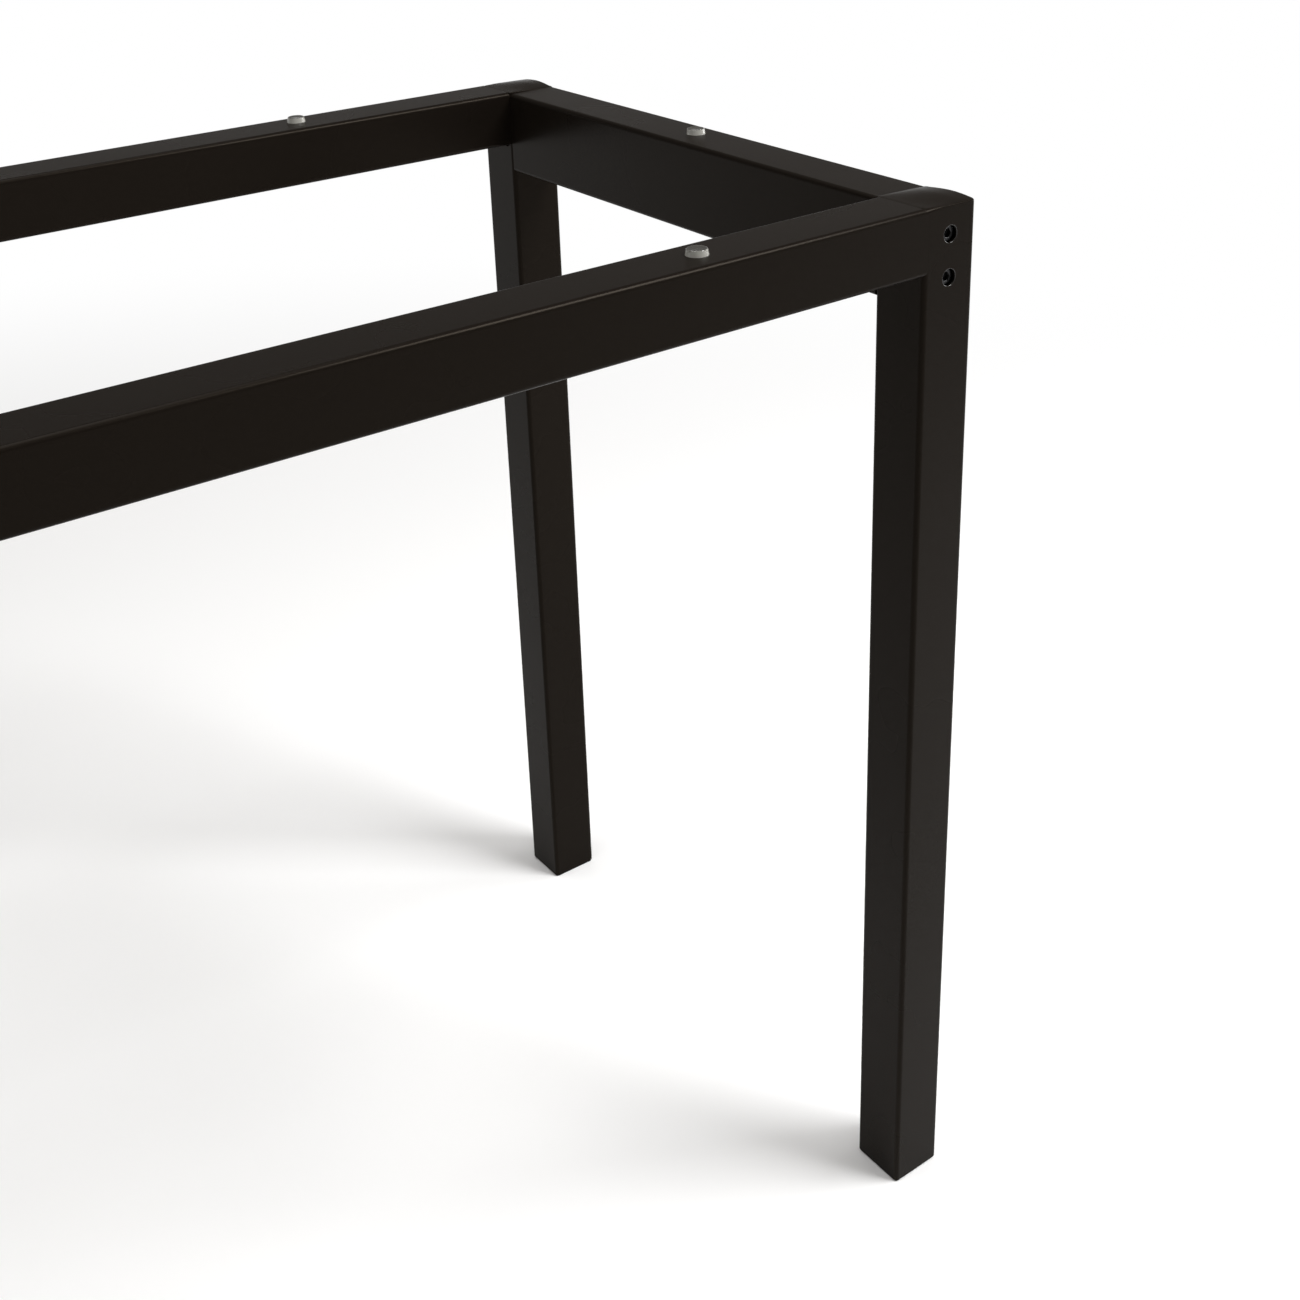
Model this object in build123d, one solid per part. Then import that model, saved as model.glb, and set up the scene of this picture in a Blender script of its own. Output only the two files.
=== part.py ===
"""Knock-down steel base for a sideboard: two welded long frames joined by two bolted end rails.

X runs along the base, Y from front to back and Z up. The origin is on the floor, under the middle of the
base. Every size is in millimetres.
"""
import os

from build123d import *

# Overall sizes
BASE_LENGTH = 1600.0
BASE_DEPTH = 480.0
FRAME_HEIGHT = 720.0

# Steel tubes: square legs and long rails, taller end rails
LEG_SIZE = 40.0
LONG_RAIL_HEIGHT = 40.0
END_RAIL_HEIGHT = 60.0
TUBE_WALL = 2.0
TUBE_CORNER = 3.0
LEAST_BORE_CORNER = 0.3
END_RAIL_DROP = 0.8

# Welded leg caps, left slightly crowned by grinding
CAP_THICKNESS = 3.0
CAP_CROWN = 1.0
CAP_CROWN_SHIFT = 6.0
CAP_EDGE_FALL = 1.5

# Welds at the corner of each long frame
GROUND_WELD_LAND = 0.3
BEAD_LEG = 2.4
BEAD_BULGE = 0.35
BEAD_INSET = 7.0

# Corner bolts: socket cap screws with a hexagon socket
BOLT_DIAMETER = 6.0
BOLT_HEAD_DIAMETER = 10.0
BOLT_HEAD_HEIGHT = 6.0
BOLT_SOCKET_FLATS = 5.0
BOLT_SOCKET_DEPTH = 3.0
BOLT_POINT_PROUD = 0.4
BOLT_SPACING = 26.0
BOLT_HEAD_RECESS = 2.4
HEAD_CLEARANCE = 0.5
SHANK_CLEARANCE = 0.3
THREAD_CLEARANCE = 0.05

# Spacer sleeves that carry the bolt heads inside the legs
SLEEVE_WALL = 3.0

# Threaded plates welded into the ends of the end rails
END_PLATE_THICKNESS = 8.0

# Plastic foot inserts: a thin flange under the leg's rim and a finned plug inside the leg
FOOT_FLANGE = 1.5
FOOT_FLANGE_INSET = 0.8
FOOT_FLOOR = 3.0
FOOT_PLUG_HEIGHT = 18.0
FOOT_PLUG_WALL = 2.0
FOOT_FIN_COUNT = 3
FOOT_FIN_THICKNESS = 1.2
FOOT_FIN_DEPTH = 1.6
FOOT_CLEARANCE = 0.1

# Clear stick-on bumpers that carry the sideboard
BUMPER_BASE_DIAMETER = 13.0
BUMPER_TOP_DIAMETER = 11.8
BUMPER_HEIGHT = 3.6
FRONT_BUMPER_INSET = 187.0
REAR_BUMPER_INSET = 204.0
REAR_BUMPER_OFFSET = 4.0
END_BUMPER_OFFSET = 3.0

# Places that follow from the sizes
TUBE_BORE_CORNER = max(TUBE_CORNER - TUBE_WALL, LEAST_BORE_CORNER)
GROUND_WELD_REACH = TUBE_CORNER - GROUND_WELD_LAND
LEG_X = (BASE_LENGTH - LEG_SIZE) / 2
LEG_Y = (BASE_DEPTH - LEG_SIZE) / 2
LONG_RAIL_LENGTH = BASE_LENGTH - 2 * LEG_SIZE
END_RAIL_LENGTH = BASE_DEPTH - 2 * LEG_SIZE
LONG_RAIL_Z = FRAME_HEIGHT - LONG_RAIL_HEIGHT / 2
END_RAIL_TOP = FRAME_HEIGHT - END_RAIL_DROP
END_RAIL_Z = END_RAIL_TOP - END_RAIL_HEIGHT / 2
CAP_Z = FRAME_HEIGHT - CAP_THICKNESS
BOLT_SEAT_DEPTH = BOLT_HEAD_RECESS + BOLT_HEAD_HEIGHT
BOLT_LENGTH = LEG_SIZE - BOLT_SEAT_DEPTH + END_PLATE_THICKNESS + BOLT_POINT_PROUD
BOLT_HEIGHTS = (END_RAIL_Z - BOLT_SPACING / 2, END_RAIL_Z + BOLT_SPACING / 2)
SHANK_HOLE_RADIUS = BOLT_DIAMETER / 2 + SHANK_CLEARANCE
HEAD_HOLE_RADIUS = BOLT_HEAD_DIAMETER / 2 + HEAD_CLEARANCE
CORNERS = {
    "front_right": (1, -1),
    "front_left": (-1, -1),
    "rear_right": (1, 1),
    "rear_left": (-1, 1),
}


def rounded_bar(across, height, length, corner):
    """Solid bar of a rounded section, along Z and centred on the origin."""
    section = RectangleRounded(across, height, corner)
    return extrude(section, length / 2, both=True)


def rounded_plate(across, height, thickness, corner):
    """Rounded plate that stands on the origin's plane."""
    section = RectangleRounded(across, height, corner)
    return extrude(section, thickness)


def cut_corner_plate(across, height, thickness):
    """Plate that stands on the origin's plane, its corners cut to clear the rounded bore of a tube."""
    plate = extrude(Rectangle(across, height), thickness)
    return chamfer(plate.edges().filter_by(Axis.Z), TUBE_BORE_CORNER)


def steel_tube(across, height, length):
    """Hollow tube with rounded corners, along Z and centred on the origin."""
    outside = rounded_bar(across, height, length, TUBE_CORNER)
    bore = rounded_bar(across - 2 * TUBE_WALL, height - 2 * TUBE_WALL, length, TUBE_BORE_CORNER)
    return outside - bore


def depth_rod(radius, start, end, x, side, z):
    """Rod along Y on one long side, between two depths below the outer face of the legs."""
    outer_face = side * BASE_DEPTH / 2
    middle = outer_face - side * (start + end) / 2
    rod = Cylinder(radius, end - start)
    return Pos(x, middle, z) * Rot(90, 0, 0) * rod


def leg(end, side):
    """Leg tube with a head hole and a shank hole for each corner bolt."""
    tube = steel_tube(LEG_SIZE, LEG_SIZE, CAP_Z - FOOT_FLANGE)
    body = Pos(end * LEG_X, side * LEG_Y, (CAP_Z + FOOT_FLANGE) / 2) * tube
    for z in BOLT_HEIGHTS:
        body -= depth_rod(HEAD_HOLE_RADIUS, -TUBE_WALL, 2 * TUBE_WALL, end * LEG_X, side, z)
        body -= depth_rod(SHANK_HOLE_RADIUS, LEG_SIZE / 2, LEG_SIZE + TUBE_WALL, end * LEG_X, side, z)
    return body


def crown_roller(reach, fall):
    """Long cylinder whose surface falls by that much at that reach from its highest line, at z = 0."""
    radius = (reach**2 + fall**2) / (2 * fall)
    return Pos(0, 0, -radius) * (Rot(90, 0, 0) * Cylinder(radius, 2 * LEG_SIZE))


def leg_cap(end, side):
    """Welded top plate, ground to a low crown that meets the rail flush and falls to the leg's other faces."""
    crown_top = CAP_THICKNESS + CAP_CROWN
    blank = rounded_plate(LEG_SIZE, LEG_SIZE, crown_top, TUBE_CORNER)
    from_rail = crown_roller(LEG_SIZE / 2 + CAP_CROWN_SHIFT, CAP_CROWN)
    front_to_back = Rot(0, 0, 90) * crown_roller(LEG_SIZE / 2, CAP_EDGE_FALL)
    cap = blank & Pos(end * CAP_CROWN_SHIFT, 0, crown_top) * from_rail & Pos(0, 0, crown_top) * front_to_back
    return Pos(end * LEG_X, side * LEG_Y, CAP_Z) * cap


def long_rail(side):
    """Rail between the two legs of one long frame."""
    tube = steel_tube(LEG_SIZE, LONG_RAIL_HEIGHT, LONG_RAIL_LENGTH)
    return Pos(0, side * LEG_Y, LONG_RAIL_Z) * (Plane.YZ * tube)


def corner_welds(end, side):
    """Two ground welds that fill the grooves beside the leg, and one bead under the rail."""
    joint_x = LEG_X - LEG_SIZE / 2
    stub = rounded_bar(LEG_SIZE, LONG_RAIL_HEIGHT, GROUND_WELD_REACH, TUBE_CORNER)
    stub = Pos(end * (joint_x + GROUND_WELD_REACH / 2), 0, LONG_RAIL_Z) * (Plane.YZ * stub)
    leg_core = rounded_plate(LEG_SIZE, LEG_SIZE, FRAME_HEIGHT, TUBE_CORNER)
    ground_welds = stub - Pos(end * LEG_X, 0, 0) * leg_core

    underside = FRAME_HEIGHT - LONG_RAIL_HEIGHT
    crest_leg = BEAD_LEG / 2 + BEAD_BULGE
    root = (end * joint_x, underside)
    on_rail = (end * (joint_x - BEAD_LEG), underside)
    on_leg = (end * joint_x, underside - BEAD_LEG)
    crest = (end * (joint_x - crest_leg), underside - crest_leg)
    outline = Line(on_leg, root) + Line(root, on_rail) + ThreePointArc(on_rail, crest, on_leg)
    bead_length = LEG_SIZE - 2 * BEAD_INSET
    bead = extrude(Plane.XZ * make_face(outline), bead_length / 2, both=True)

    place = Pos(0, side * LEG_Y, 0)
    return Compound(children=[place * weld for weld in ground_welds.solids() + bead.solids()])


def end_rail(end):
    """Rail between the two long frames, set a little below their tops."""
    tube = steel_tube(LEG_SIZE, END_RAIL_HEIGHT, END_RAIL_LENGTH)
    return Pos(end * LEG_X, 0, END_RAIL_Z) * (Plane.XZ * tube)


def end_plate(end, side):
    """Threaded plate that closes one end of an end rail and takes its two bolts."""
    across = LEG_SIZE - 2 * TUBE_WALL
    height = END_RAIL_HEIGHT - 2 * TUBE_WALL
    blank = cut_corner_plate(across, height, END_PLATE_THICKNESS)
    upright = Rot(90 * side, 0, 0) * blank
    plate = Pos(end * LEG_X, side * END_RAIL_LENGTH / 2, END_RAIL_Z) * upright
    hole_end = LEG_SIZE + END_PLATE_THICKNESS + TUBE_WALL
    for z in BOLT_HEIGHTS:
        thread_radius = BOLT_DIAMETER / 2 + THREAD_CLEARANCE
        plate -= depth_rod(thread_radius, LEG_SIZE - TUBE_WALL, hole_end, end * LEG_X, side, z)
    return plate


def bolt_sleeve(end, side, z):
    """Spacer inside the leg, from the back of the bolt head to the leg's inner wall."""
    length = LEG_SIZE - TUBE_WALL - BOLT_SEAT_DEPTH
    tube = Cylinder(SHANK_HOLE_RADIUS + SLEEVE_WALL, length)
    tube -= Cylinder(SHANK_HOLE_RADIUS, length)
    middle = side * (BASE_DEPTH / 2 - BOLT_SEAT_DEPTH - length / 2)
    return Pos(end * LEG_X, middle, z) * Rot(90, 0, 0) * tube


def corner_bolt(end, side, z):
    """Socket cap screw, head outwards and recessed in the leg."""
    head = Cylinder(BOLT_HEAD_DIAMETER / 2, BOLT_HEAD_HEIGHT, align=(Align.CENTER, Align.CENTER, Align.MIN))
    socket = extrude(RegularPolygon(BOLT_SOCKET_FLATS / 2, 6, major_radius=False), -BOLT_SOCKET_DEPTH)
    head -= Pos(0, 0, BOLT_HEAD_HEIGHT) * socket
    shank = Cylinder(BOLT_DIAMETER / 2, BOLT_LENGTH, align=(Align.CENTER, Align.CENTER, Align.MAX))
    screw = head + shank
    seat = side * (BASE_DEPTH / 2 - BOLT_SEAT_DEPTH)
    return Pos(end * LEG_X, seat, z) * Rot(-90 * side, 0, 0) * screw


def foot(end, side):
    """Push-in glide: a thin flange, a hollow plug open at the top, and fins that grip the leg's bore."""
    flange_across = LEG_SIZE - 2 * FOOT_FLANGE_INSET
    fin_across = LEG_SIZE - 2 * TUBE_WALL - 2 * FOOT_CLEARANCE
    plug_across = fin_across - 2 * FOOT_FIN_DEPTH
    bore_across = plug_across - 2 * FOOT_PLUG_WALL
    glide = rounded_plate(flange_across, flange_across, FOOT_FLANGE, TUBE_CORNER - FOOT_FLANGE_INSET)
    glide += Pos(0, 0, FOOT_FLANGE) * cut_corner_plate(plug_across, plug_across, FOOT_PLUG_HEIGHT)
    fin_pitch = FOOT_PLUG_HEIGHT / FOOT_FIN_COUNT
    for index in range(FOOT_FIN_COUNT):
        fin_middle = FOOT_FLANGE + fin_pitch * (index + 0.5)
        fin = cut_corner_plate(fin_across, fin_across, FOOT_FIN_THICKNESS)
        glide += Pos(0, 0, fin_middle - FOOT_FIN_THICKNESS / 2) * fin
    glide -= Pos(0, 0, FOOT_FLOOR) * extrude(Rectangle(bore_across, bore_across), FOOT_PLUG_HEIGHT)
    return Pos(end * LEG_X, side * LEG_Y, 0) * glide


def bumper(x, y, z):
    """Tapered round pad, stuck on at its wider end."""
    pad = Cone(BUMPER_BASE_DIAMETER / 2, BUMPER_TOP_DIAMETER / 2, BUMPER_HEIGHT)
    return Pos(x, y, z + BUMPER_HEIGHT / 2) * pad


def build_parts():
    """Every piece of the base, by node name."""
    pieces = {}
    for corner, (end, side) in CORNERS.items():
        pieces[corner + "_leg"] = leg(end, side)
        pieces[corner + "_cap"] = leg_cap(end, side)
        pieces[corner + "_welds"] = corner_welds(end, side)
        pieces[corner + "_end_plate"] = end_plate(end, side)
        pieces[corner + "_sleeves"] = Compound(children=[bolt_sleeve(end, side, z) for z in BOLT_HEIGHTS])
        pieces[corner + "_bolts"] = Compound(children=[corner_bolt(end, side, z) for z in BOLT_HEIGHTS])
        pieces[corner + "_foot"] = foot(end, side)
    for name, side in (("front", -1), ("rear", 1)):
        pieces[name + "_rail"] = long_rail(side)
    for name, end in (("right", 1), ("left", -1)):
        pieces[name + "_end_rail"] = end_rail(end)
        front_x = end * (BASE_LENGTH / 2 - FRONT_BUMPER_INSET)
        rear_x = end * (BASE_LENGTH / 2 - REAR_BUMPER_INSET)
        pieces["front_" + name + "_bumper"] = bumper(front_x, -LEG_Y, FRAME_HEIGHT)
        pieces["rear_" + name + "_bumper"] = bumper(rear_x, LEG_Y + REAR_BUMPER_OFFSET, FRAME_HEIGHT)
        pieces[name + "_end_bumper"] = bumper(end * (LEG_X + END_BUMPER_OFFSET), 0, END_RAIL_TOP)
    return pieces


os.makedirs("parts", exist_ok=True)
for node, shape in build_parts().items():
    export_step(shape, "parts/" + node + ".step")
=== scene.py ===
"""Sideboard base: a black powder-coated knock-down frame of steel tube, seen at its right end."""
import math

import bmesh
import bpy
from mathutils import Matrix, Vector


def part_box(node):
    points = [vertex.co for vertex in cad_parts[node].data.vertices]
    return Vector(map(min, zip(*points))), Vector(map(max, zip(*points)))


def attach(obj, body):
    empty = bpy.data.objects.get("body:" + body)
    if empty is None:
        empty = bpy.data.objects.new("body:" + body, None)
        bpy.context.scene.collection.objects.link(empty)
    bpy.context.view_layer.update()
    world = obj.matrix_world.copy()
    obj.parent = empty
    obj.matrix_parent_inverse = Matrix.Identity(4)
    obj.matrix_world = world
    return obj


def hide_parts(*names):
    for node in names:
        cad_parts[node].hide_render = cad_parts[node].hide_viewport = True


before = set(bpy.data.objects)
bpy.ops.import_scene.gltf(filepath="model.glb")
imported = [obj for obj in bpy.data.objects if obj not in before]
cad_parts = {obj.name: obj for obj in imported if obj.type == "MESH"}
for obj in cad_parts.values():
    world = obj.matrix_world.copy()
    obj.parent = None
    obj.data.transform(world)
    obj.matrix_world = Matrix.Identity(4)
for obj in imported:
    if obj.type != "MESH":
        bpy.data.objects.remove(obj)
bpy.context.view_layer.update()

# Welded frames and end rails
# Steel tube legs, rails and caps under one warm satin black powder coat.
# The long rails are welded to the legs; the end rails are bolted between the two frames.


def add_node(tree, kind, **inputs):
    """A node of that kind, with constants set on the sockets named."""
    node = tree.nodes.new(kind)
    for name, value in inputs.items():
        node.inputs[name.replace("_", " ")].default_value = value
    return node


def new_material(name):
    """An empty node material with its Principled shader."""
    material = bpy.data.materials.new(name)
    material.use_nodes = True
    tree = material.node_tree
    return material, tree, tree.nodes["Principled BSDF"]


def coat_nodes(names, material):
    """Gives the material to CAD nodes, which stay as they are."""
    for name in names:
        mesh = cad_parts[name].data
        mesh.materials.clear()
        mesh.materials.append(material)


grain = bpy.data.node_groups.new("surface_grain", "ShaderNodeTree")
grain.interface.new_socket("Grains per metre", in_out="INPUT", socket_type="NodeSocketFloat")
grain.interface.new_socket("Height", in_out="OUTPUT", socket_type="NodeSocketFloat")
grain.interface.new_socket("Fleck", in_out="OUTPUT", socket_type="NodeSocketFloat")
grain.interface.new_socket("Drift", in_out="OUTPUT", socket_type="NodeSocketFloat")
grain_in = grain.nodes.new("NodeGroupInput")
grain_out = grain.nodes.new("NodeGroupOutput")
place = grain.nodes.new("ShaderNodeTexCoord")
peel = add_node(grain, "ShaderNodeTexNoise", Detail=2.0, Roughness=0.45)
fleck = add_node(grain, "ShaderNodeTexNoise", Detail=1.0, Roughness=0.6)
drift = add_node(grain, "ShaderNodeTexNoise", Scale=7.0, Detail=3.0, Roughness=0.5)
finer = grain.nodes.new("ShaderNodeMath")
finer.operation = "MULTIPLY"
finer.inputs[1].default_value = 3.1
grain.links.new(grain_in.outputs["Grains per metre"], peel.inputs["Scale"])
grain.links.new(grain_in.outputs["Grains per metre"], finer.inputs[0])
grain.links.new(finer.outputs[0], fleck.inputs["Scale"])
for texture in (peel, fleck, drift):
    grain.links.new(place.outputs["Object"], texture.inputs["Vector"])
grain.links.new(peel.outputs["Fac"], grain_out.inputs["Height"])
grain.links.new(fleck.outputs["Fac"], grain_out.inputs["Fleck"])
grain.links.new(drift.outputs["Fac"], grain_out.inputs["Drift"])


def grained(tree, shader, grains, dark, light, smooth, rough, depth):
    """Colour between dark and light by fleck, roughness by drift and a fine bump by grain."""
    group = tree.nodes.new("ShaderNodeGroup")
    group.node_tree = grain
    group.inputs["Grains per metre"].default_value = grains
    tone = tree.nodes.new("ShaderNodeMix")
    tone.data_type = "RGBA"
    tone.inputs["A"].default_value = (*dark, 1.0)
    tone.inputs["B"].default_value = (*light, 1.0)
    sheen = add_node(tree, "ShaderNodeMapRange", From_Min=0.3, From_Max=0.7)
    sheen.inputs["To Min"].default_value = smooth
    sheen.inputs["To Max"].default_value = rough
    bump = add_node(tree, "ShaderNodeBump", Strength=1.0, Distance=depth)
    tree.links.new(group.outputs["Fleck"], tone.inputs["Factor"])
    tree.links.new(tone.outputs["Result"], shader.inputs["Base Color"])
    tree.links.new(group.outputs["Drift"], sheen.inputs["Value"])
    tree.links.new(sheen.outputs["Result"], shader.inputs["Roughness"])
    tree.links.new(group.outputs["Height"], bump.inputs["Height"])
    tree.links.new(bump.outputs["Normal"], shader.inputs["Normal"])
    return bump


def satin_black(tree, shader):
    """The powder coat: a warm satin black with a faint orange peel; gives its bump."""
    shader.inputs["Specular IOR Level"].default_value = 0.055
    shader.inputs["Specular Tint"].default_value = (1.0, 0.84, 0.66, 1.0)
    return grained(
        tree,
        shader,
        grains=900.0,
        dark=(0.0054, 0.0040, 0.0030),
        light=(0.0086, 0.0066, 0.0051),
        smooth=0.25,
        rough=0.31,
        depth=0.00001,
    )


corners = ("front_right", "front_left", "rear_right", "rear_left")
powder, powder_tree, powder_shader = new_material("powder_coat")
satin_black(powder_tree, powder_shader)
coat_nodes([f"{corner}_leg" for corner in corners], powder)
coat_nodes(["front_rail", "rear_rail", "right_end_rail", "left_end_rail"], powder)

# Leg caps
# A steel plate welded on each leg and ground: flush with the rail on one side, crowned,
# and rounded over to the leg's outer faces. Coated with the frame.
repeat = bpy.data.node_groups.new("repeat_on_places", "GeometryNodeTree")
repeat.interface.new_socket("Places", in_out="INPUT", socket_type="NodeSocketGeometry")
repeat.interface.new_socket("Shape", in_out="INPUT", socket_type="NodeSocketObject")
repeat.interface.new_socket("Finish", in_out="INPUT", socket_type="NodeSocketMaterial")
repeat.interface.new_socket("Pieces", in_out="OUTPUT", socket_type="NodeSocketGeometry")
repeat_in = repeat.nodes.new("NodeGroupInput")
repeat_out = repeat.nodes.new("NodeGroupOutput")
to_points = repeat.nodes.new("GeometryNodeMeshToPoints")
one_shape = repeat.nodes.new("GeometryNodeObjectInfo")
turn = repeat.nodes.new("GeometryNodeInputNamedAttribute")
turn.data_type = "FLOAT"
turn.inputs["Name"].default_value = "turn"
upright_turn = repeat.nodes.new("ShaderNodeCombineXYZ")
each_place = repeat.nodes.new("GeometryNodeInstanceOnPoints")
realized = repeat.nodes.new("GeometryNodeRealizeInstances")
finished = repeat.nodes.new("GeometryNodeSetMaterial")
repeat.links.new(repeat_in.outputs["Places"], to_points.inputs["Mesh"])
repeat.links.new(repeat_in.outputs["Shape"], one_shape.inputs["Object"])
repeat.links.new(turn.outputs["Attribute"], upright_turn.inputs["Z"])
repeat.links.new(to_points.outputs["Points"], each_place.inputs["Points"])
repeat.links.new(one_shape.outputs["Geometry"], each_place.inputs["Instance"])
repeat.links.new(upright_turn.outputs["Vector"], each_place.inputs["Rotation"])
repeat.links.new(each_place.outputs["Instances"], realized.inputs["Geometry"])
repeat.links.new(realized.outputs["Geometry"], finished.inputs["Geometry"])
repeat.links.new(repeat_in.outputs["Finish"], finished.inputs["Material"])
repeat.links.new(finished.outputs["Geometry"], repeat_out.inputs["Pieces"])


def lay_out(name, shape, places, finish):
    """One object with the shape at each place, a point and a turn about the upright axis."""
    points = bpy.data.meshes.new(name + "_places")
    points.from_pydata([place for place, angle in places], [], [])
    turns = points.attributes.new("turn", "FLOAT", "POINT")
    turns.data.foreach_set("value", [angle for place, angle in places])
    template = bpy.data.objects.new(name + "_shape", shape)
    piece = bpy.data.objects.new(name, points)
    bpy.context.scene.collection.objects.link(template)
    bpy.context.scene.collection.objects.link(piece)
    layout = piece.modifiers.new("layout", "NODES")
    layout.node_group = repeat
    for item in repeat.interface.items_tree:
        if item.name == "Shape":
            layout[item.identifier] = template
        elif item.name == "Finish":
            layout[item.identifier] = finish
    bpy.context.view_layer.update()
    laid = piece.evaluated_get(bpy.context.evaluated_depsgraph_get())
    mesh = bpy.data.meshes.new_from_object(laid)
    piece.modifiers.remove(layout)
    piece.data = mesh
    bpy.data.objects.remove(template)
    return piece


def skin(name, rings, hard_angle):
    """A closed mesh through rings of equal count, up to a ring of one point or to its first ring again."""
    shape = bmesh.new()
    rows = []
    for ring in rings:
        again = rows and ring is rings[0]
        rows.append(rows[0] if again else [shape.verts.new(point) for point in ring])
    for lower, upper in zip(rows, rows[1:]):
        count = max(len(lower), len(upper))
        for index in range(count):
            after = (index + 1) % count
            around = [lower[index % len(lower)], lower[after % len(lower)]]
            around += [upper[after % len(upper)], upper[index % len(upper)]]
            shape.faces.new(list(dict.fromkeys(around)))
    bmesh.ops.recalc_face_normals(shape, faces=shape.faces)
    for face in shape.faces:
        face.smooth = True
    mesh = bpy.data.meshes.new(name)
    shape.to_mesh(mesh)
    shape.free()
    mesh.set_sharp_from_angle(angle=math.radians(hard_angle))
    return mesh


cap_low, cap_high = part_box("front_right_cap")
cap_half = (cap_high.x - cap_low.x) / 2
cap_height = cap_high.z - cap_low.z
cap_corner = 0.003
cap_square = 0.0001
cap_crown = 0.0010
cap_blend = 1.5 * cap_half
cap_edge_fall = 0.0016
cap_end_fall = 0.0003
cap_least_wall = 0.0001
rail_edge = 0.0030
ground_edge = 0.0009
end_edge = 0.0026
seam_edge = 0.0003
flush_edge = 0.00002
edge_turns = (0.0, 0.26, 0.52, 0.79, 1.05, 1.31, 1.57)
top_insets = (0.18, 0.28, 0.40, 0.54, 0.68, 0.84)


def cap_outline():
    """Points round the leg's outline in half widths: round at the frame's end, square beside the rail."""
    points = []
    inners = [1.0 - radius / cap_half for radius in (cap_corner, cap_square, cap_square, cap_corner)]
    for quarter, inner in enumerate(inners):
        cosine, sine = round(math.cos(math.pi / 2 * quarter)), round(math.sin(math.pi / 2 * quarter))
        corner = []
        for step in range(8):
            begin = -inners[quarter - 1]
            corner.append((1.0, begin + (inner - begin) * step / 8))
        for step in range(7):
            angle = math.pi / 2 * step / 7
            corner.append((inner + (1 - inner) * math.cos(angle), inner + (1 - inner) * math.sin(angle)))
        points += [(x * cosine - y * sine, x * sine + y * cosine) for x, y in corner]
    return points


def ease(value):
    """Smooth step from 0 to 1."""
    value = min(1.0, max(0.0, value))
    return value * value * (3.0 - 2.0 * value)


def cap_edge(across, out):
    """Radius at the top of the outline: flush with the rail, a seam at the end rail, ground crisp outside."""
    if across < -0.99 and out < 0.9:
        return flush_edge
    outside = rail_edge + (ground_edge - rail_edge) * ease((across + 1.0) / 0.7)
    outside += (end_edge - ground_edge) * ease((0.3 - out) / 1.2)
    return seam_edge + (outside - seam_edge) * ease((out + 1.0) / 0.15)


def cap_point(across, out, inset, drop, hand):
    """A point of the cap's top; across runs to the frame's end, out to its outer face."""
    scale = 1.0 - inset / cap_half
    u, v = across * scale * cap_half, out * scale * cap_half
    from_rail = ease((u + cap_half) / cap_blend)
    top = cap_height - cap_crown
    top += from_rail * (cap_crown - cap_edge_fall * (v / cap_half) ** 2)
    top -= cap_end_fall * ease((u / cap_half - 0.3) / 0.7)
    return (u * hand, -v, top - drop)


def cap_shape(hand):
    """Half of the caps have the rail on their left, the others on their right."""
    outline = cap_outline()
    rings = [[(0.0, 0.0, 0.0)], [(u * cap_half * hand, -v * cap_half, 0.0) for u, v in outline]]
    deepest = cap_height - cap_crown - cap_least_wall
    for turned in edge_turns:
        ring = []
        for u, v in outline:
            radius = cap_edge(u, v)
            inset, drop = radius * (1.0 - math.cos(turned)), radius * (1.0 - math.sin(turned))
            ring.append(cap_point(u, v, inset, min(drop, deepest), hand))
        rings.append(ring)
    for share in top_insets:
        rings.append([cap_point(u, v, cap_half * share, 0.0, hand) for u, v in outline])
    rings.append([cap_point(0.0, 0.0, cap_half, 0.0, hand)])
    return skin(f"cap_{hand}", rings, 40.0)


def above(node):
    """The middle of a node's underside."""
    low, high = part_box(node)
    return ((low.x + high.x) / 2, (low.y + high.y) / 2, low.z)


for name, hand, first, second in (
    ("right_hand_caps", 1, "front_right_cap", "rear_left_cap"),
    ("left_hand_caps", -1, "front_left_cap", "rear_right_cap"),
):
    caps = lay_out(name, cap_shape(hand), [(above(first), 0.0), (above(second), math.pi)], powder)
    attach(caps, "root")
    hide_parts(first, second)

# Corner welds
# Two butt welds ground flush with the tubes and a fillet bead left under the rail.
# They lie under the same coat; the bead keeps its ripple across the leg.
weld, weld_tree, weld_shader = new_material("coated_weld")
weld_bump = satin_black(weld_tree, weld_shader)
bead_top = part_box("front_rail")[0].z + 0.0002
weld_place = weld_tree.nodes.new("ShaderNodeTexCoord")
weld_axes = weld_tree.nodes.new("ShaderNodeSeparateXYZ")
ripple = add_node(weld_tree, "ShaderNodeTexWave", Scale=130.0, Distortion=1.2, Detail=1.0)
ripple.bands_direction = "Y"
below_rail = weld_tree.nodes.new("ShaderNodeMath")
below_rail.operation = "LESS_THAN"
below_rail.inputs[1].default_value = bead_top
on_bead = weld_tree.nodes.new("ShaderNodeMath")
on_bead.operation = "MULTIPLY"
ripple_bump = add_node(weld_tree, "ShaderNodeBump", Strength=1.0, Distance=0.0004)
weld_tree.links.new(weld_place.outputs["Object"], weld_axes.inputs[0])
weld_tree.links.new(weld_place.outputs["Object"], ripple.inputs["Vector"])
weld_tree.links.new(weld_axes.outputs["Z"], below_rail.inputs[0])
weld_tree.links.new(ripple.outputs["Fac"], on_bead.inputs[0])
weld_tree.links.new(below_rail.outputs[0], on_bead.inputs[1])
weld_tree.links.new(on_bead.outputs[0], ripple_bump.inputs["Height"])
weld_tree.links.new(weld_bump.outputs["Normal"], ripple_bump.inputs["Normal"])
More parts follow.
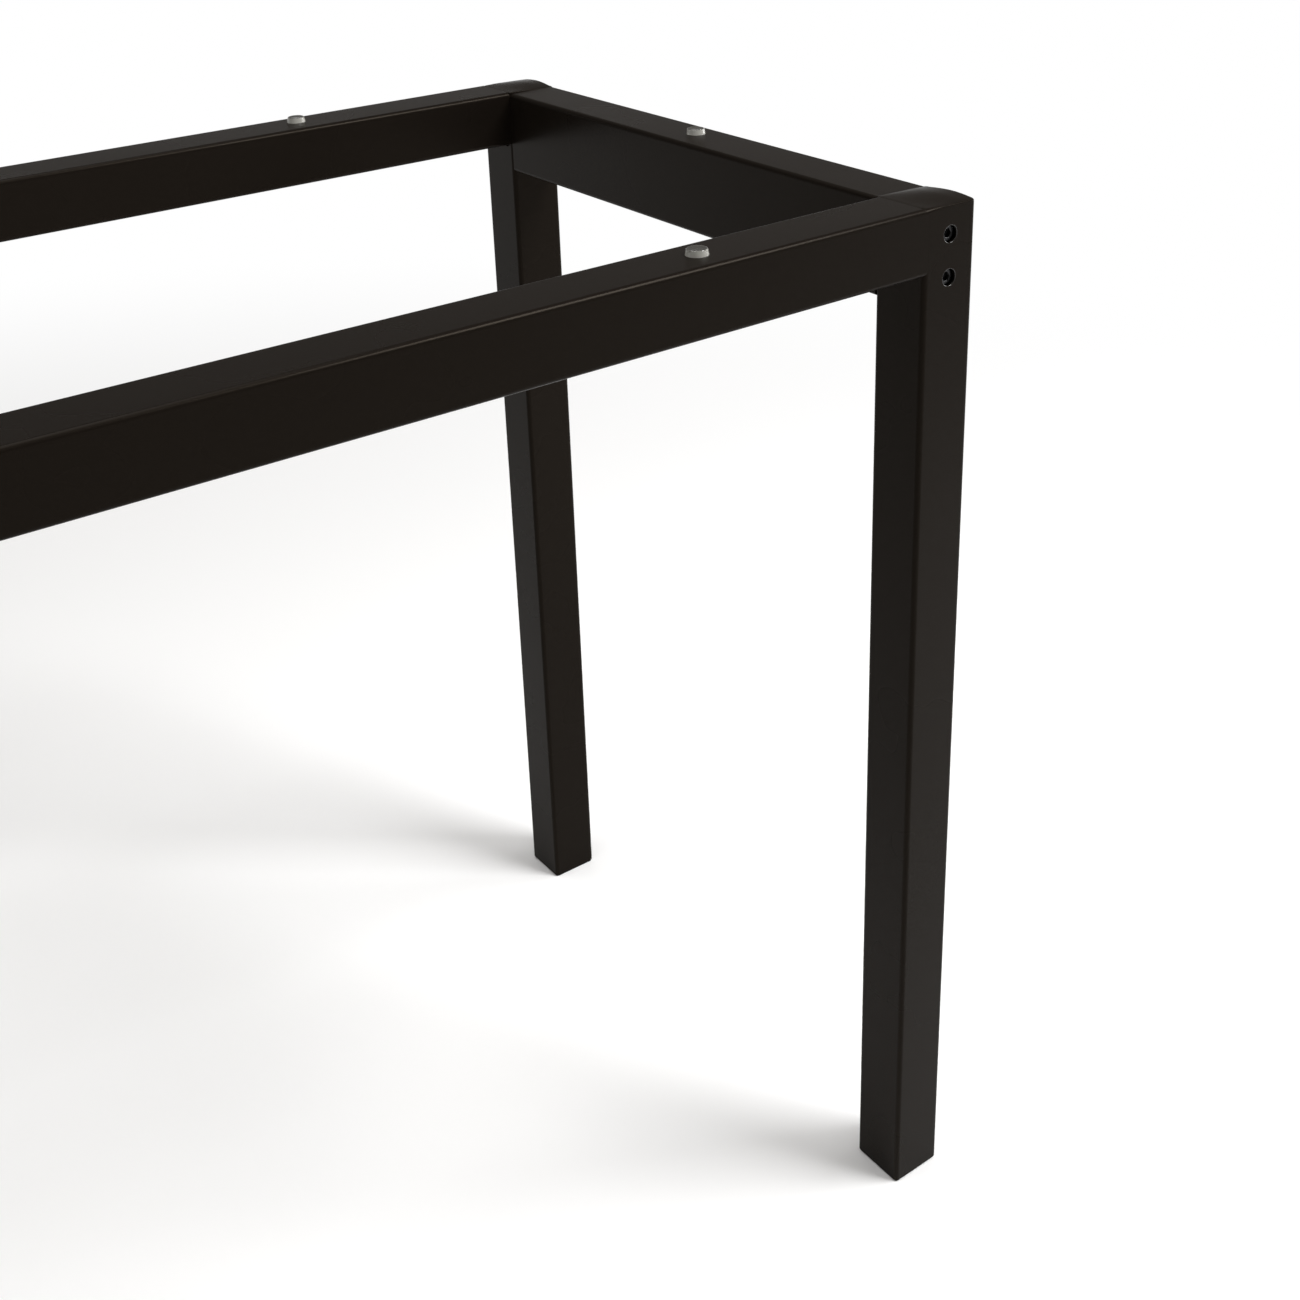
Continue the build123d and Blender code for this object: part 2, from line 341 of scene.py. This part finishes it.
weld_tree.links.new(ripple_bump.outputs["Normal"], weld_shader.inputs["Normal"])
coat_nodes([f"{corner}_welds" for corner in corners], weld)

# Corner bolts
# Two socket cap screws in each leg, black oxide steel with a light oil sheen.
# Their heads sit below the leg's face on the sleeves and draw the end rail in.
oxide, oxide_tree, oxide_shader = new_material("black_oxide")
oxide_shader.inputs["Metallic"].default_value = 0.85
oxide_shader.inputs["Specular IOR Level"].default_value = 0.4
grained(
    oxide_tree,
    oxide_shader,
    grains=2600.0,
    dark=(0.022, 0.022, 0.024),
    light=(0.048, 0.047, 0.047),
    smooth=0.24,
    rough=0.36,
    depth=0.000004,
)
screw_head = 0.005
screw_head_height = 0.006
screw_shank = 0.003
screw_tip = 0.00252
screw_tip_bevel = 0.0006
screw_rim = 0.0006
socket_flat = 0.0025
socket_mouth = 0.0003
socket_land = 0.0033
socket_depth = 0.003
socket_point = 0.0007
screw_low, screw_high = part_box("front_right_bolts")
screw_length = screw_high.y - screw_low.y
ring_angles = [math.tau * step / 48 for step in range(48)]


def round_ring(radius, depth):
    """A ring about the screw's axis; depth is measured inwards from its outer face."""
    return [(radius * math.cos(a), depth, radius * math.sin(a)) for a in ring_angles]


def hex_ring(flat, depth):
    """A hexagon with that distance from the axis to each flat."""
    reach = [flat / math.cos((a % (math.pi / 3)) - math.pi / 6) for a in ring_angles]
    return [(r * math.cos(a), depth, r * math.sin(a)) for r, a in zip(reach, ring_angles)]


screw_shape = skin(
    "screw",
    [
        [(0.0, screw_length, 0.0)],
        round_ring(screw_tip, screw_length),
        round_ring(screw_shank, screw_length - screw_tip_bevel),
        round_ring(screw_shank, screw_head_height),
        round_ring(screw_head, screw_head_height),
        round_ring(screw_head, screw_rim),
        round_ring(screw_head - screw_rim, 0.0),
        round_ring(socket_land, 0.0),
        hex_ring(socket_flat + socket_mouth, 0.0),
        hex_ring(socket_flat, socket_mouth),
        hex_ring(socket_flat, socket_depth),
        [(0.0, socket_depth + socket_point, 0.0)],
    ],
    25.0,
)
screw_places = []
for corner in corners:
    low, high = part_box(f"{corner}_bolts")
    face, facing = (low.y, 0.0) if corner.startswith("front") else (high.y, math.pi)
    for z in (low.z + screw_head, high.z - screw_head):
        screw_places.append((((low.x + high.x) / 2, face, z), facing))
screws = lay_out("corner_screws", screw_shape, screw_places, oxide)
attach(screws, "root")
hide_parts(*[f"{corner}_bolts" for corner in corners])

# Screw hole lips
# The coat runs round the edge of each drilled hole in a smooth, shinier lip.
# It lies flush with the leg's face and lines the hole's mouth round the recessed head.
lip_hole = 0.0055
lip_round = 0.00045
lip_start = round_ring(lip_hole, 0.0)
lip_rings = [lip_start]
for step in range(1, 9):
    turned = math.pi * step / 8
    inner, depth = lip_hole - lip_round * math.sin(turned), lip_round * (1.0 - math.cos(turned))
    lip_rings.append(round_ring(inner, depth))
lip_rings.append(lip_start)

lip_coat, lip_tree, lip_shader = new_material("lip_coat")
lip_shader.inputs["Base Color"].default_value = (0.0070, 0.0053, 0.0040, 1.0)
lip_shader.inputs["Roughness"].default_value = 0.18
lip_shader.inputs["Specular IOR Level"].default_value = 0.5

front_face, rear_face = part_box("front_right_leg")[0].y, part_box("rear_right_leg")[1].y
lip_places = []
for (x, y, z), facing in screw_places:
    lip_places.append(((x, front_face if facing == 0.0 else rear_face, z), facing))
lips = lay_out("screw_hole_lips", skin("hole_lip", lip_rings, 50.0), lip_places, lip_coat)
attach(lips, "root")

# End plates and sleeves
# Plain mild steel, turned and sawn, hidden in the tubes: the threaded plate closes
# an end rail's end, and the sleeves keep the leg from crushing under the screws.
steel, steel_tree, steel_shader = new_material("plain_steel")
steel_shader.inputs["Metallic"].default_value = 1.0
grained(
    steel_tree,
    steel_shader,
    grains=1500.0,
    dark=(0.30, 0.29, 0.27),
    light=(0.42, 0.41, 0.39),
    smooth=0.40,
    rough=0.58,
    depth=0.00001,
)
coat_nodes([f"{corner}_end_plate" for corner in corners], steel)
coat_nodes([f"{corner}_sleeves" for corner in corners], steel)

# Feet
# Black polyethylene inserts pushed into the legs from below, held by their fins.
# A thin flange takes the leg's rim and touches the floor.
plastic, plastic_tree, plastic_shader = new_material("black_plastic")
plastic_shader.inputs["Specular IOR Level"].default_value = 0.35
grained(
    plastic_tree,
    plastic_shader,
    grains=1700.0,
    dark=(0.010, 0.010, 0.010),
    light=(0.016, 0.016, 0.016),
    smooth=0.48,
    rough=0.60,
    depth=0.00002,
)
coat_nodes([f"{corner}_foot" for corner in corners], plastic)

# Bumpers
# Six clear soft pads on the rails, tapered, with a rounded rim and a slightly hollow top.
# Each is pressed on with its own glue; the cabinet rests on them.
pad_nodes = [
    "front_right_bumper",
    "front_left_bumper",
    "rear_right_bumper",
    "rear_left_bumper",
    "right_end_bumper",
    "left_end_bumper",
]
pad_low, pad_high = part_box(pad_nodes[0])
pad_base = (pad_high.x - pad_low.x) / 2
pad_height = pad_high.z - pad_low.z
pad_taper = 0.905
pad_top = pad_base * pad_taper
pad_rim = 0.0008
pad_hollow = 0.00025
pad_angles = [math.tau * step / 64 for step in range(64)]


def pad_ring(radius, height):
    """A level ring about the bumper's axis."""
    return [(radius * math.cos(a), radius * math.sin(a), height) for a in pad_angles]


pad_rings = [[(0.0, 0.0, 0.0)]]
for step in range(5):
    up = step / 5
    pad_rings.append(pad_ring(pad_base + (pad_top - pad_base) * up, (pad_height - pad_rim) * up))
for step in range(9):
    turned = math.radians(90.0 * step / 8)
    out = pad_top - pad_rim + pad_rim * math.cos(turned)
    pad_rings.append(pad_ring(out, pad_height - pad_rim + pad_rim * math.sin(turned)))
for step in range(1, 6):
    inward = step / 6
    fall = pad_hollow * (1.0 - (1.0 - inward) ** 2)
    pad_rings.append(pad_ring((pad_top - pad_rim) * (1.0 - inward), pad_height - fall))
pad_rings.append([(0.0, 0.0, pad_height - pad_hollow)])

clear, clear_tree, clear_shader = new_material("clear_bumper")
clear_shader.inputs["Base Color"].default_value = (0.56, 0.55, 0.50, 1.0)
clear_shader.inputs["IOR"].default_value = 1.47
clear_shader.inputs["Roughness"].default_value = 0.12
# Clear on top, less clear and so paler on the sides, by the way each face points: the pale sides are a
# painted brightness in place of the light a clear pad gathers in its walls.
clear_facing = clear_tree.nodes.new("ShaderNodeNewGeometry")
clear_axes = clear_tree.nodes.new("ShaderNodeSeparateXYZ")
clear_top_painted_pale_sides = add_node(clear_tree, "ShaderNodeMapRange", From_Min=0.3, From_Max=0.95)
clear_top_painted_pale_sides.inputs["To Min"].default_value = 0.38
clear_top_painted_pale_sides.inputs["To Max"].default_value = 0.93
clear_tree.links.new(clear_facing.outputs["Normal"], clear_axes.inputs[0])
clear_tree.links.new(clear_axes.outputs["Z"], clear_top_painted_pale_sides.inputs["Value"])
clear_tree.links.new(clear_top_painted_pale_sides.outputs["Result"], clear_shader.inputs["Transmission Weight"])

pad_places = [(above(name), 0.0) for name in pad_nodes]
bumpers = lay_out("bumpers", skin("bumper", pad_rings, 60.0), pad_places, clear)
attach(bumpers, "root")
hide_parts(*pad_nodes)

# Floor
# A wide pale studio floor that takes the base's soft shadow.
floor_half = 60.0
floor_mesh = bpy.data.meshes.new("floor")
floor_mesh.from_pydata(
    [
        (-floor_half, -floor_half, 0.0),
        (floor_half, -floor_half, 0.0),
        (floor_half, floor_half, 0.0),
        (-floor_half, floor_half, 0.0),
    ],
    [],
    [(0, 1, 2, 3)],
)
floor = bpy.data.objects.new("floor", floor_mesh)
bpy.context.scene.collection.objects.link(floor)
paper, paper_tree, paper_shader = new_material("pale_floor")
paper_shader.inputs["Base Color"].default_value = (0.96, 0.96, 0.96, 1.0)
paper_shader.inputs["Roughness"].default_value = 0.95
paper_shader.inputs["Specular IOR Level"].default_value = 0.0
spot = paper_tree.nodes.new("ShaderNodeTexCoord")
spot_axes = paper_tree.nodes.new("ShaderNodeSeparateXYZ")
distance = paper_tree.nodes.new("ShaderNodeVectorMath")
distance.operation = "LENGTH"
far_behind = add_node(paper_tree, "ShaderNodeMapRange", From_Min=0.9, From_Max=2.6)
behind = add_node(paper_tree, "ShaderNodeMapRange", From_Min=-0.5, From_Max=0.3)
far_around = add_node(paper_tree, "ShaderNodeMapRange", From_Min=1.5, From_Max=3.0)
for fade in (far_behind, behind, far_around):
    fade.interpolation_type = "SMOOTHSTEP"
backdrop = paper_tree.nodes.new("ShaderNodeMath")
backdrop.operation = "MULTIPLY"
either = paper_tree.nodes.new("ShaderNodeMath")
either.operation = "MAXIMUM"
rays = paper_tree.nodes.new("ShaderNodeLightPath")
camera_or_glossy = paper_tree.nodes.new("ShaderNodeMath")
camera_or_glossy.operation = "MAXIMUM"
seen = paper_tree.nodes.new("ShaderNodeMath")
seen.operation = "MAXIMUM"
white_where_seen = paper_tree.nodes.new("ShaderNodeMath")
white_where_seen.operation = "MULTIPLY"
white = add_node(paper_tree, "ShaderNodeEmission", Color=(1.0, 1.0, 1.0, 1.0), Strength=1.0)
floor_mix = paper_tree.nodes.new("ShaderNodeMixShader")
paper_tree.links.new(spot.outputs["Object"], spot_axes.inputs[0])
paper_tree.links.new(spot.outputs["Object"], distance.inputs[0])
paper_tree.links.new(distance.outputs["Value"], far_behind.inputs["Value"])
paper_tree.links.new(distance.outputs["Value"], far_around.inputs["Value"])
paper_tree.links.new(spot_axes.outputs["Y"], behind.inputs["Value"])
paper_tree.links.new(far_behind.outputs["Result"], backdrop.inputs[0])
paper_tree.links.new(behind.outputs["Result"], backdrop.inputs[1])
paper_tree.links.new(backdrop.outputs[0], either.inputs[0])
paper_tree.links.new(far_around.outputs["Result"], either.inputs[1])
paper_tree.links.new(rays.outputs["Is Camera Ray"], camera_or_glossy.inputs[0])
paper_tree.links.new(rays.outputs["Is Glossy Ray"], camera_or_glossy.inputs[1])
paper_tree.links.new(camera_or_glossy.outputs[0], seen.inputs[0])
paper_tree.links.new(rays.outputs["Is Transmission Ray"], seen.inputs[1])
paper_tree.links.new(either.outputs[0], white_where_seen.inputs[0])
paper_tree.links.new(seen.outputs[0], white_where_seen.inputs[1])
paper_tree.links.new(white_where_seen.outputs[0], floor_mix.inputs["Fac"])
paper_tree.links.new(paper_shader.outputs["BSDF"], floor_mix.inputs[1])
paper_tree.links.new(white.outputs["Emission"], floor_mix.inputs[2])
paper_tree.links.new(floor_mix.outputs["Shader"], paper_tree.nodes["Material Output"].inputs["Surface"])
floor_mesh.materials.append(paper)

# Studio light
# A room, white at its horizon and darker towards the ceiling, with three large soft lamps.
# The coat mirrors a thinner white band than the one that is seen behind the base.
world = bpy.data.worlds.new("studio")
bpy.context.scene.world = world
world.use_nodes = True
room = world.node_tree
background = room.nodes["Background"]
background.inputs["Strength"].default_value = 1.0
room_place = room.nodes.new("ShaderNodeTexCoord")
room_axes = room.nodes.new("ShaderNodeSeparateXYZ")
room_rays = room.nodes.new("ShaderNodeLightPath")
band_top = add_node(room, "ShaderNodeMapRange", To_Min=0.23, To_Max=0.13)
upward = add_node(room, "ShaderNodeMapRange", From_Min=0.06)
upward.interpolation_type = "SMOOTHSTEP"
room_tone = room.nodes.new("ShaderNodeMix")
room_tone.data_type = "RGBA"
room_tone.inputs["A"].default_value = (1.0, 1.0, 1.0, 1.0)
room_tone.inputs["B"].default_value = (0.18, 0.17, 0.158, 1.0)
room.links.new(room_place.outputs["Object"], room_axes.inputs[0])
room.links.new(room_axes.outputs["Z"], upward.inputs["Value"])
room.links.new(room_rays.outputs["Is Glossy Ray"], band_top.inputs["Value"])
room.links.new(band_top.outputs["Result"], upward.inputs["From Max"])
room.links.new(upward.outputs["Result"], room_tone.inputs["Factor"])
room.links.new(room_tone.outputs["Result"], background.inputs["Color"])


def soft_lamp(name, at, toward, width, height, power):
    """A soft lamp at a place, facing a point, that the camera doesn't see."""
    data = bpy.data.lights.new(name, "AREA")
    data.shape = "RECTANGLE"
    data.size = width
    data.size_y = height
    data.energy = power
    lamp = bpy.data.objects.new(name, data)
    lamp.location = at
    lamp.rotation_euler = (Vector(toward) - Vector(at)).to_track_quat("-Z", "Y").to_euler()
    lamp.visible_camera = False
    bpy.context.scene.collection.objects.link(lamp)


soft_lamp("high_lamp", (0.2, 0.4, 3.2), (0.2, 0.4, 0.0), 2.4, 2.4, 50.0)
soft_lamp("key_lamp", (1.7, -1.15, 2.3), (1.1, -0.6, 0.0), 0.9, 0.9, 54.0)
soft_lamp("right_panel", (3.2, -0.6, 1.0), (0.8, 0.0, 0.4), 1.2, 1.2, 27.0)

# Camera
# Above the front rail, looking down along the frame to its right end.
camera_data = bpy.data.cameras.new("camera")
camera_data.sensor_width = 36.0
camera_data.lens = 47.02
camera_data.shift_x = 0.0
camera_data.shift_y = -0.20
camera_data.clip_start = 0.01
camera_data.clip_end = 200.0
camera = bpy.data.objects.new("camera", camera_data)
turned_right = math.radians(35.70)
looking_down = math.radians(21.69)
leaning = math.radians(1.84)
aim = Matrix.Rotation(-turned_right, 4, "Z")
aim = aim @ Matrix.Rotation(math.pi / 2 - looking_down, 4, "X")
aim = aim @ Matrix.Rotation(-leaning, 4, "Z")
camera.rotation_euler = aim.to_euler()
camera.location = (0.0959, -0.8937, 0.9824)
bpy.context.scene.collection.objects.link(camera)
bpy.context.scene.camera = camera
bpy.context.scene.view_settings.view_transform = "Standard"

bpy.context.view_layer.update()
